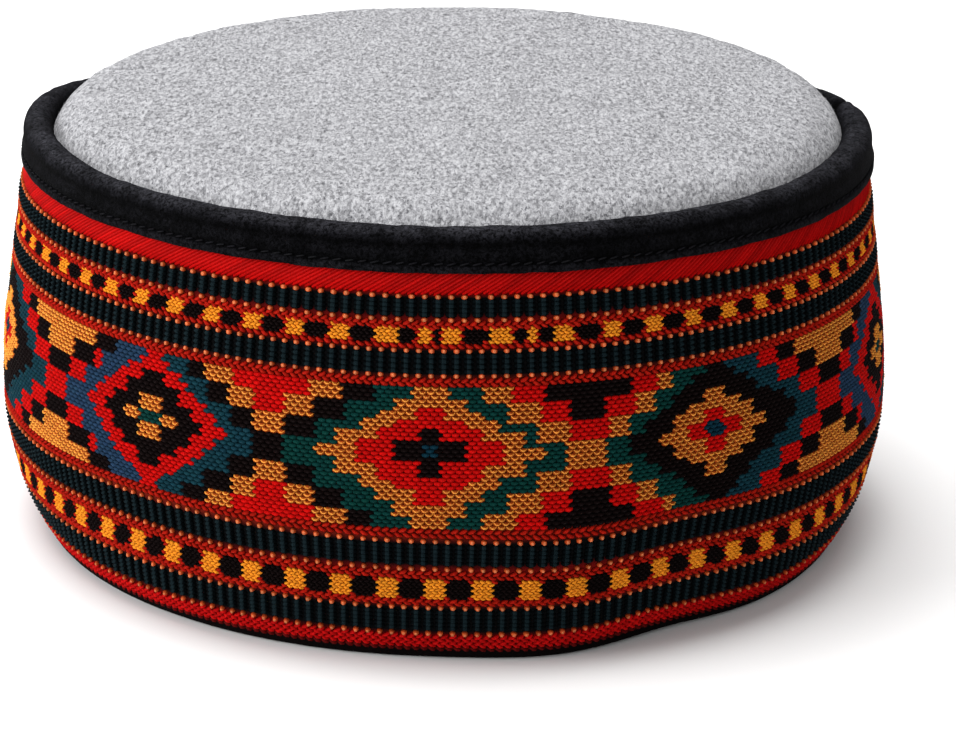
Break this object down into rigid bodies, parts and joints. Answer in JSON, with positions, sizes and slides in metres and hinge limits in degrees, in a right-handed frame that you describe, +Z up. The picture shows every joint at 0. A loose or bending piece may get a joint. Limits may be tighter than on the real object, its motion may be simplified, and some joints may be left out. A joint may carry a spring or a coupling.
{
  "type": "skullcap",
  "caption": "Round grey felt pillbox cap with a puffed crown and a tall woven patterned cuff bound in black cloth, open below for the head.",
  "frame": {"origin": "middle of the head opening, on the plane that the hem rests on", "axes": "+Z up through the crown, -Y towards the front of the cap, +X towards the side where the binding laps"},
  "size_m": [0.1974, 0.1974, 0.0969],
  "materials": {
    "felt": "matte heathered grey wool felt",
    "woven_braid": "matte wool braid, red, orange, black, green and blue",
    "black_cloth": "soft napped black cloth"
  },
  "bodies": {
    "root": {"crown": "felt", "band": "woven_braid", "binding": "black_cloth"}
  },
  "joints": []
}
